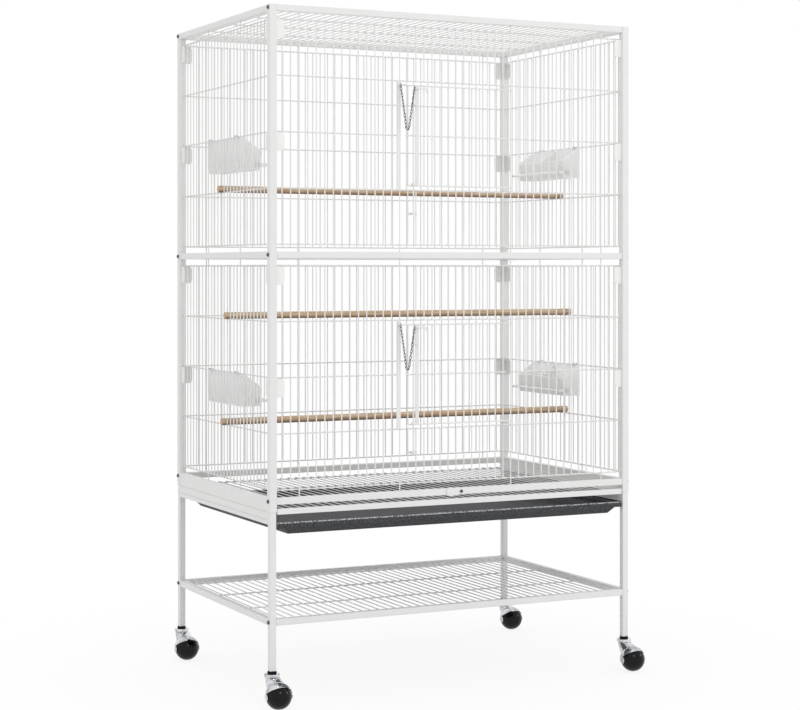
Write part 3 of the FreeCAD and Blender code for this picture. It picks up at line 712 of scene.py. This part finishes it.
class CAGE_OT_frame(bpy.types.Operator):
    """Posts, legs and rails of square tube, and the screws that hold them"""

    bl_idname = "cage.frame"
    bl_label = "Frame"

    def execute(self, context):
        sizes = context.scene.cage_sizes
        rail_low, rail_high = corners("front_top_rail")
        screws = bmesh.new()
        for corner in CORNERS:
            post = post_piece("post_" + corner, sizes)
            leg = corners("leg_" + corner)
            tube_piece("leg_" + corner, leg, sizes)
            is_left = post[0].x < 0
            for level in LEVELS:
                low, high = leg if level == "shelf" else post
                foot = (low + high) / 2
                foot.x = low.x if is_left else high.x
                foot.z = middle_of(f"front_{level}_rail").z
                out = -RIGHT if is_left else RIGHT
                add_screw(screws, foot, out, sizes.screw_width, sizes.screw_height)
        piece = new_object(screws, "frame_screws", "dark_screw")
        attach(piece, "cage")
        for place in ("front", "back"):
            for level in LEVELS:
                node = f"{place}_{level}_rail"
                tube_piece(node, corners(node), sizes)
        for place in ("left", "right"):
            for level in SIDE_LEVELS:
                side_rail_piece(f"{place}_{level}_rail", rail_high.z - rail_low.z, sizes)
        return {"FINISHED"}


# Wire work


def add_wires(mesh, boxes, sizes):
    """Round wires in every box that is a wire's; returns the other boxes."""
    others = []
    for low, high in boxes:
        if is_wire(low, high):
            add_wire(mesh, low, high, sizes.wire_sides)
        else:
            others.append((low, high))
    return others


def add_keeper(mesh, low, high, sizes):
    """Keeper for a lowered lock rod: a plate across two bars with a strap about the rod."""
    edge, wall = sizes.plate_edge, sizes.strap_wall
    back = high.y - sizes.strap_plate
    add_block(mesh, (low.x, back, low.z), high, edge)
    rod_low, rod_high = corners("upper_lock_rod")
    middle = rod_low.x + (rod_high.y - rod_low.y) / 2
    left, right = middle - sizes.strap_width / 2, middle + sizes.strap_width / 2
    for x in (left, right - wall):
        add_block(mesh, (x, low.y, low.z), (x + wall, back, high.z), edge)
    web = (left + wall / 2, low.y, low.z)
    add_block(mesh, web, (right - wall / 2, low.y + wall, high.z), edge)


class CAGE_OT_panels(bpy.types.Operator):
    """Wire panels, the strips and keepers of the doorways, and the flat grilles"""

    bl_idname = "cage.panels"
    bl_label = "Panels"

    def execute(self, context):
        sizes = context.scene.cage_sizes
        nodes = [f"{tier}_{side}_panel" for tier in TIERS for side in SIDES]
        for node in (*nodes, "top_grille", "shelf_grille"):
            mesh = bmesh.new()
            for low, high in add_wires(mesh, solid_boxes(node), sizes):
                if (high - low).z > STRIP_SHORTEST:
                    add_block(mesh, low, high, sizes.plate_edge)
                else:
                    add_keeper(mesh, low, high, sizes)
            stand_for(mesh, node + "_wires", node)
        return {"FINISHED"}


def add_hinge_arm(mesh, low, high, sizes):
    """Arm of the door that ends in an eye rolled about the hinge bar."""
    width = high.z - low.z
    reach = (high.y - low.y) / 2
    hinge = Vector((high.x - reach, (low.y + high.y) / 2, (low.z + high.z) / 2))
    start = Vector((low.x, low.y + width / 2, hinge.z))
    run = RIGHT * (hinge.x - start.x)
    add_bent_rod(mesh, start, [run, (hinge, UP, EYE_TURN)], width, sizes.wire_sides)


def door_piece(tier, sizes):
    """Door: round bars, two arms with rolled eyes, the strip, the rod guides and the chain tab."""
    node = f"{tier}_door"
    mesh = bmesh.new()
    for low, high in add_wires(mesh, solid_boxes(node), sizes):
        size = high - low
        if size.x > ROD_SHORTEST:
            add_hinge_arm(mesh, low, high, sizes)
        elif size.z > STRIP_SHORTEST:
            add_block(mesh, low, high, sizes.plate_edge)
    add_copy(mesh, node, sizes.plate_edge, lambda low, high: max(high - low) < FITTING_LONGEST)
    stand_for(mesh, node + "_bars", node)


def lock_rod_piece(tier, sizes):
    """Lock rod with rounded bends at its handle and hook."""
    node = f"{tier}_lock_rod"
    low, high = corners(node)
    width = high.y - low.y
    middle_y = (low.y + high.y) / 2
    bend = sizes.rod_bend
    start = Vector((low.x + width / 2, middle_y, low.z))
    end_x = high.x - width / 2
    bend_z = high.z - width / 2 - bend
    steps = [
        UP * (bend_z - start.z),
        (Vector((start.x + bend, middle_y, bend_z)), BACK, QUARTER),
        RIGHT * (end_x - start.x - 2 * bend),
        (Vector((end_x - bend, middle_y, bend_z)), BACK, QUARTER),
        UP * (bend - sizes.rod_hook),
    ]
    mesh = bmesh.new()
    add_bent_rod(mesh, start, steps, width, sizes.wire_sides)
    stand_for(mesh, node + "_bent", node)


def chain_line(left, right, foot, turn, distance):
    """Point and direction at a distance along a chain that hangs in a V with a round foot."""
    middle = Vector(((left.x + right.x) / 2, left.y, foot + turn))
    angles = []
    for end, side in ((left, 1), (right, -1)):
        reach = end - middle
        angles.append(math.atan2(reach.z, reach.x) + side * math.acos(turn / reach.length))
    run_down = math.sqrt((left - middle).length ** 2 - turn**2)
    first, last = angles
    sweep = (last - first) % FULL_TURN
    swept = min(max((distance - run_down) / turn, 0), sweep)
    out = Vector((math.cos(first + swept), 0, math.sin(first + swept)))
    onward = Vector((-out.z, 0, out.x))
    past = distance - run_down - swept * turn
    return middle + out * turn + onward * past, onward


def add_link(mesh, place, sizes):
    """Oval chain link, its long axis from left to right before it is put in its place."""
    before = set(mesh.verts)
    ring = (sizes.link_width - sizes.link_wire) / 2
    stretch = (sizes.link_length - sizes.link_wire) / 2 / ring
    upright = Matrix.Translation((ring, 0, 0)) @ Matrix.Rotation(QUARTER, 4, "X")
    wire = bmesh.ops.create_circle(
        mesh, segments=LINK_SIDES, radius=sizes.link_wire / 2, matrix=upright
    )["verts"]
    bmesh.ops.spin(
        mesh,
        geom=wire + edges_of(wire),
        cent=(0, 0, 0),
        axis=UP,
        angle=FULL_TURN,
        steps=LINK_STEPS,
        use_merge=True,
    )
    bmesh.ops.remove_doubles(mesh, verts=list(set(mesh.verts) - before), dist=MERGE)
    link = list(set(mesh.verts) - before)
    bmesh.ops.recalc_face_normals(mesh, faces=faces_of(link))
    bmesh.ops.transform(mesh, matrix=place @ Matrix.Diagonal((stretch, 1, 1, 1)), verts=link)


def chain_piece(tier, sizes):
    """Link chain from the door's tab to the rod's handle."""
    node = f"{tier}_chain"
    low, high = corners(node)
    half = (high.y - low.y) / 2
    handle = corners(f"{tier}_lock_rod")[1].z - HANDLE_RADIUS
    left = Vector((low.x + half, low.y + half, high.z))
    right = Vector((high.x - half, low.y + half, handle))
    pitch = sizes.link_length - 2 * sizes.link_wire
    course = (left, right, low.z + half, sizes.chain_turn)
    count = 2
    while chain_line(*course, count * pitch)[0].z < right.z:
        count += 1
    mesh = bmesh.new()
    for index in range(count):
        point, onward = chain_line(*course, index * pitch)
        crossed = Matrix.Rotation(QUARTER * (index % 2), 4, "X")
        add_link(mesh, Matrix.Translation(point) @ turn_to(onward, RIGHT) @ crossed, sizes)
    piece = new_object(mesh, node + "_links", SLOTS[node])
    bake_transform(piece)
    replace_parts(piece, node)


class CAGE_OT_doors(bpy.types.Operator):
    """Doors with their lock rods and safety chains"""

    bl_idname = "cage.doors"
    bl_label = "Doors"

    def execute(self, context):
        sizes = context.scene.cage_sizes
        for tier in TIERS:
            door_piece(tier, sizes)
            lock_rod_piece(tier, sizes)
            chain_piece(tier, sizes)
        return {"FINISHED"}


# Slide-out parts


def grate_piece(sizes):
    """Floor grate of round wires behind a flat front bar."""
    mesh = bmesh.new()
    for low, high in add_wires(mesh, solid_boxes("floor_grate"), sizes):
        add_block(mesh, low, high, FRONT_BAR_EDGE * sizes.plate_edge)
    stand_for(mesh, "floor_grate_wires", "floor_grate")


def tray_piece(sizes):
    """Folded pan: leaning and upright walls, ledges, a low rim, a front apron and round folds."""
    low, high = corners("tray")
    middle = (low + high) / 2
    half = (high - low).to_2d() / 2
    ledge = high.z - sizes.tray_rim
    apron = ledge - sizes.tray_apron
    well = half - Vector((sizes.tray_ledge, sizes.tray_lip))
    reach = well - Vector((sizes.tray_slope, sizes.tray_slope))
    height = low.z
    place = Matrix.LocRotScale(Vector((middle.x, middle.y, height)), None, Vector((*reach, 1)))
    mesh = bmesh.new()
    bmesh.ops.create_grid(mesh, x_segments=1, y_segments=1, size=1, matrix=place)
    edges = list(mesh.edges)
    about = Matrix.Translation(-middle)
    for wanted, z in ((well, apron), (well, ledge), (half, ledge), (half, high.z)):
        made = bmesh.ops.extrude_edge_only(mesh, edges=edges)["geom"]
        verts = only(made, BMVert)
        growth = (wanted.x / reach.x, wanted.y / reach.y, 1)
        bmesh.ops.scale(mesh, vec=growth, space=about, verts=verts)
        bmesh.ops.translate(mesh, vec=UP * (z - height), verts=verts)
        edges = only(made, BMEdge)
        reach, height = wanted, z
    bmesh.ops.recalc_face_normals(mesh, faces=mesh.faces)
    floor = min(mesh.faces, key=lambda f: f.calc_center_median().z)
    if floor.normal.z > 0:
        bmesh.ops.reverse_faces(mesh, faces=mesh.faces)
    folds = [e for e in mesh.edges if len(e.link_faces) == 2]
    round_edges(mesh, folds, sizes.tray_fold)
    bmesh.ops.solidify(mesh, geom=mesh.faces[:], thickness=sizes.tray_sheet)
    apron_end = (high.x, low.y + sizes.tray_sheet, high.z)
    add_block(mesh, (low.x, low.y, apron), apron_end, sizes.plate_edge)
    stand_for(mesh, "tray_pan", "tray")


def hem_piece(sizes):
    """Rolled hem along the front of the tray's rim, in a far lighter hammertone that paints a
    highlight along it.
    """
    low, high = corners("tray")
    roll = (low.y + sizes.tray_sheet / 2, high.z - sizes.tray_hem / 2)
    ends = [Vector((x, *roll)) for x in (low.x, high.x)]
    mesh = bmesh.new()
    add_turned(mesh, *ends, sizes.tray_hem, BAR_SIDES, sizes.plate_edge)
    # The hem's lighter hammertone is a painted highlight.
    trim(mesh, "tray_hem", "tray", "tray_hem")


def tag_pieces(sizes):
    """Turning tag and the screw that it turns on."""
    mesh = bmesh.new()
    add_copy(mesh, "latch_tag", sizes.plate_edge)
    stand_for(mesh, "latch_tag_plate", "latch_tag")
    low, high = corners("tag_screw")
    tag_front = corners("latch_tag")[0].y
    middle = middle_of("tag_screw")
    foot = Vector((middle.x, tag_front, middle.z))
    root = Vector((middle.x, high.y, middle.z))
    mesh = bmesh.new()
    add_screw(mesh, foot, -BACK, high.x - low.x, tag_front - low.y)
    add_turned(mesh, foot, root, sizes.tag_shank, PIN_SIDES, sizes.plate_edge)
    stand_for(mesh, "tag_screw_head", "tag_screw")


class CAGE_OT_floor(bpy.types.Operator):
    """Floor grate, tray and the tag that keeps them in"""

    bl_idname = "cage.floor"
    bl_label = "Grate and tray"

    def execute(self, context):
        sizes = context.scene.cage_sizes
        grate_piece(sizes)
        tray_piece(sizes)
        hem_piece(sizes)
        tag_pieces(sizes)
        return {"FINISHED"}


# Perches and cups


class CAGE_OT_perches(bpy.types.Operator):
    """Wooden dowels between the side panels"""

    bl_idname = "cage.perches"
    bl_label = "Perches"

    def execute(self, context):
        mesh = bmesh.new()
        add_copy(mesh, "perches", context.scene.cage_sizes.dowel_edge)
        stand_for(mesh, "perch_dowels", "perches")
        return {"FINISHED"}


def cup_piece(node, sizes):
    """Feed cup with two bowls, its hooks over the row wire and the perch rod along its front."""
    boxes = solid_boxes(node)
    body = max(boxes, key=volume)
    large = volume(body) / 2
    wall, edge = sizes.cup_wall, sizes.cup_edge / 2
    mesh = bmesh.new()
    add_copy(mesh, node, sizes.cup_edge, lambda *box: volume(box) > large)
    for low, high in boxes:
        size = high - low
        if volume((low, high)) > large:
            continue
        if size.y > ROD_SHORTEST:
            middle = (low + high) / 2
            ends = [Vector((middle.x, y, middle.z)) for y in (low.y, high.y)]
            add_turned(mesh, *ends, size.z, BAR_SIDES, sizes.plate_edge)
        elif size.y > 2 * wall:
            tip = low.x if body[0].x < 0 else high.x - wall
            add_block(mesh, (low.x, low.y, high.z - wall), high, edge)
            add_block(mesh, (tip, low.y, low.z), (tip + wall, high.y, high.z), edge)
        else:
            add_block(mesh, low, high, edge)
    stand_for(mesh, node + "_bowls", node)


class CAGE_OT_cups(bpy.types.Operator):
    """Feed cups hooked on the side panels"""

    bl_idname = "cage.cups"
    bl_label = "Feed cups"

    def execute(self, context):
        for tier in TIERS:
            for side in ("left", "right"):
                cup_piece(f"{tier}_{side}_cup", context.scene.cage_sizes)
        return {"FINISHED"}


# Casters


def socket_pieces(places, sizes):
    """Plastic sockets in the feet of the legs, each with a round collar and a square plug."""
    low, high = corners("leg_sockets")
    width = 2 * (min(place.x for place in places) - low.x)
    plug = Vector((sizes.plug_width, sizes.plug_width, 0)) / 2
    mesh = bmesh.new()
    for place in places:
        foot = Vector((*place, low.z))
        top = Vector((*place, low.z + sizes.collar_height))
        add_turned(mesh, foot, top, width, CAP_SIDES, sizes.turned_edge)
        add_block(mesh, top - plug, top + plug + UP * (high.z - top.z), sizes.plate_edge)
    stand_for(mesh, "leg_socket_collars", "leg_sockets")


def add_ball(mesh, middle, radius):
    """Ball with its poles on the axle."""
    poles = Matrix.Translation(middle) @ Matrix.Rotation(QUARTER, 4, "Y")
    bmesh.ops.create_uvsphere(
        mesh, u_segments=BALL_ROUNDS, v_segments=BALL_ROWS, radius=radius, matrix=poles
    )


def ball_piece(corner, middle, sizes):
    """Caster ball with a fine mould line round its middle."""
    node = "caster_ball_" + corner
    mesh = bmesh.new()
    radius = sizes.ball_width / 2
    add_ball(mesh, middle, radius)
    line = [v for v in mesh.verts if abs(v.co.x - middle.x) < MERGE]
    shrink = 1 - sizes.ball_groove / radius
    bmesh.ops.scale(mesh, vec=(1, shrink, shrink), space=Matrix.Translation(-middle), verts=line)
    stand_for(mesh, node + "_moulding", node)


def split(mesh, point, normal):
    """Cuts all faces along a plane, keeping both sides."""
    geom = mesh.verts[:] + mesh.edges[:] + mesh.faces[:]
    bmesh.ops.bisect_plane(mesh, geom=geom, dist=MERGE, plane_co=point, plane_no=normal)


def hood_shell(middle, neck_top, sizes):
    """Hood of pressed sheet: a round shell with a leaning mouth, two ears and a shoulder."""
    mesh = bmesh.new()
    outside = sizes.ball_width / 2 + sizes.hood_gap + sizes.hood_sheet
    add_ball(mesh, middle, outside)
    mouth = Matrix.Rotation(-sizes.hood_tilt, 3, "X") @ -UP
    split(mesh, middle - mouth * sizes.hood_set_back, mouth)
    ear_from = math.sqrt(outside**2 - sizes.hood_ear**2)
    for side in (-1, 1):
        split(mesh, middle + RIGHT * side * ear_from, RIGHT)
    open_faces = []
    for face in mesh.faces:
        away = face.calc_center_median() - middle
        if away.dot(mouth) > -sizes.hood_set_back and abs(away.x) < ear_from:
            open_faces.append(face)
    bmesh.ops.delete(mesh, geom=open_faces, context="FACES")
    rise = (neck_top - middle).normalized()
    spread = sizes.shoulder_spread
    foot = middle + rise * outside * math.cos(spread)
    rings = (
        (sizes.neck_width / 2, Matrix.Translation(neck_top)),
        (outside * math.sin(spread), Matrix.Translation(foot) @ turn_to(rise)),
    )
    shoulder = []
    for radius, place in rings:
        ring = bmesh.ops.create_circle(
            mesh, cap_ends=False, segments=RING_SIDES, radius=radius, matrix=place
        )["verts"]
        shoulder += edges_of(ring)
    bmesh.ops.bridge_loops(mesh, edges=shoulder)
    bmesh.ops.recalc_face_normals(mesh, faces=mesh.faces)
    bmesh.ops.solidify(mesh, geom=mesh.faces[:], thickness=sizes.hood_sheet)
    return mesh


def hood_piece(corner, place, middle, sizes):
    """Chromed hood over the ball, with its swivel neck, flange, stem and the rivets of its axle."""
    node = "caster_hood_" + corner
    flange_top = corners("leg_sockets")[0].z - sizes.swivel_gap
    neck_top = Vector((*place, flange_top - sizes.flange_height))
    flange_end = Vector((*place, flange_top))
    stem_end = Vector((*place, corners(node)[1].z))
    mesh = hood_shell(middle, neck_top, sizes)
    add_turned(mesh, neck_top, flange_end, sizes.flange_width, RING_SIDES, sizes.turned_edge)
    add_turned(mesh, flange_end, stem_end, sizes.stem_width, PIN_SIDES, sizes.plate_edge)
    crown = RIVET_CROWN * sizes.rivet_width
    for side in (-1, 1):
        head = middle + RIGHT * side * sizes.rivet_reach
        root = middle + RIGHT * side * (sizes.ball_width / 2 - sizes.turned_edge)
        add_turned(mesh, root, head, sizes.rivet_width, CAP_SIDES, sizes.turned_edge, crown)
    stand_for(mesh, node + "_shell", node)


class CAGE_OT_casters(bpy.types.Operator):
    """Ball casters: sockets, hoods and balls"""

    bl_idname = "cage.casters"
    bl_label = "Casters"

    def execute(self, context):
        sizes = context.scene.cage_sizes
        places = []
        for corner in CORNERS:
            places.append(middle_of("leg_" + corner).to_2d())
            middle = middle_of("caster_ball_" + corner)
            middle.z = sizes.ball_width / 2
            ball_piece(corner, middle, sizes)
            hood_piece(corner, places[-1], middle, sizes)
        socket_pieces(places, sizes)
        return {"FINISHED"}


# Stage


def add_lamp(name, place, width, watts):
    """Soft square lamp that faces the part."""
    data = bpy.data.lights.new(name, "AREA")
    data.size = width
    data.energy = watts
    lamp = bpy.data.objects.new(name, data)
    lamp.location = place
    lamp.rotation_euler = (LAMP_AIM - Vector(place)).to_track_quat("-Z", "Y").to_euler()
    bpy.context.scene.collection.objects.link(lamp)


def seen_directly(tree):
    """1 for rays from the camera, from gloss and through clear pieces, otherwise 0."""
    path = add_node(tree, "ShaderNodeLightPath").outputs
    seen = joined(tree, "MAXIMUM", path["Is Camera Ray"], path["Is Glossy Ray"])
    return joined(tree, "MAXIMUM", seen, path["Is Transmission Ray"])


def floor_material(colours):
    """Painted studio floor: matt, near white below the object and plain white further out."""
    material, tree, place = new_material("studio_floor_matt_white")
    away = add_node(tree, "ShaderNodeVectorMath", {0: place}, operation="LENGTH").outputs["Value"]
    far = ranged(tree, away, FLOOR_FADE, FLOOR_WHITE, interpolation_type="SMOOTHSTEP")
    share = joined(tree, "MULTIPLY", far, seen_directly(tree))
    matt = add_node(tree, "ShaderNodeBsdfDiffuse", {"Color": colours.floor}).outputs["BSDF"]
    white = add_node(tree, "ShaderNodeEmission", {"Strength": 1.0}).outputs["Emission"]
    mix = add_node(tree, "ShaderNodeMixShader", {0: share, 1: matt, 2: white})
    add_node(tree, "ShaderNodeOutputMaterial", {"Surface": mix.outputs["Shader"]})
    return material


def add_floor(scene):
    """Flat floor below the part."""
    mesh = bmesh.new()
    bmesh.ops.create_grid(mesh, x_segments=1, y_segments=1, size=FLOOR_HALF)
    data = bpy.data.meshes.new("studio_floor")
    mesh.to_mesh(data)
    mesh.free()
    data.materials.append(floor_material(scene.cage_colours))
    floor = bpy.data.objects.new("studio_floor", data)
    scene.collection.objects.link(floor)


def add_sky(scene):
    """White surroundings that light the part a little less than they show."""
    world = bpy.data.worlds.new("studio")
    world.use_nodes = True
    tree = world.node_tree
    tree.nodes.clear()
    level = ranged(tree, seen_directly(tree), end=SKY_LIGHT)
    sky = add_node(tree, "ShaderNodeBackground", {"Color": (1, 1, 1, 1), "Strength": level})
    add_node(tree, "ShaderNodeOutputWorld", {"Surface": sky.outputs["Background"]})
    scene.world = world


def add_camera(scene):
    """Level camera with a shifted lens."""
    camera = bpy.data.cameras.new("photo_camera")
    for key, value in CAMERA.items():
        setattr(camera, key, value)
    holder = bpy.data.objects.new("photo_camera", camera)
    holder.location = CAMERA_PLACE
    holder.rotation_euler = CAMERA_TURN
    scene.collection.objects.link(holder)
    scene.camera = holder


class CAGE_OT_stage(bpy.types.Operator):
    """Pale floor, soft lamps, white surroundings and the camera"""

    bl_idname = "cage.stage"
    bl_label = "Stage"

    def execute(self, context):
        scene = context.scene
        add_floor(scene)
        add_sky(scene)
        for lamp in LAMPS:
            add_lamp(*lamp)
        add_camera(scene)
        scene.view_settings.view_transform = "Standard"
        return {"FINISHED"}


class CAGE_PT_panel(bpy.types.Panel):
    """Lists the pieces, their sizes and their colours"""

    bl_label = "Bird cage"
    bl_idname = "CAGE_PT_panel"
    bl_space_type = "VIEW_3D"
    bl_region_type = "UI"
    bl_category = "Cage"

    def draw(self, context):
        for operator in OPERATORS:
            self.layout.operator(operator.bl_idname)
        for group in (context.scene.cage_sizes, context.scene.cage_colours):
            box = self.layout.box()
            for name in group.__annotations__:
                box.prop(group, name)


OPERATORS = (
    CAGE_OT_frame,
    CAGE_OT_panels,
    CAGE_OT_doors,
    CAGE_OT_floor,
    CAGE_OT_perches,
    CAGE_OT_cups,
    CAGE_OT_casters,
    CAGE_OT_stage,
)
CLASSES = (CageSizes, CageColours, *OPERATORS, CAGE_PT_panel)


def register():
    """Adds the classes and the two groups of properties."""
    for item in CLASSES:
        bpy.utils.register_class(item)
    bpy.types.Scene.cage_sizes = PointerProperty(type=CageSizes)
    bpy.types.Scene.cage_colours = PointerProperty(type=CageColours)


def unregister():
    """Takes the properties and the classes away again."""
    del bpy.types.Scene.cage_colours
    del bpy.types.Scene.cage_sizes
    for item in reversed(CLASSES):
        bpy.utils.unregister_class(item)


def main():
    """Dresses the cage."""
    register()
    FINISHES.update(finishes())
    bpy.ops.cage.frame()
    bpy.ops.cage.panels()
    bpy.ops.cage.doors()
    bpy.ops.cage.floor()
    bpy.ops.cage.perches()
    bpy.ops.cage.cups()
    bpy.ops.cage.casters()
    bpy.ops.cage.stage()


if __name__ == "__main__":
    main()
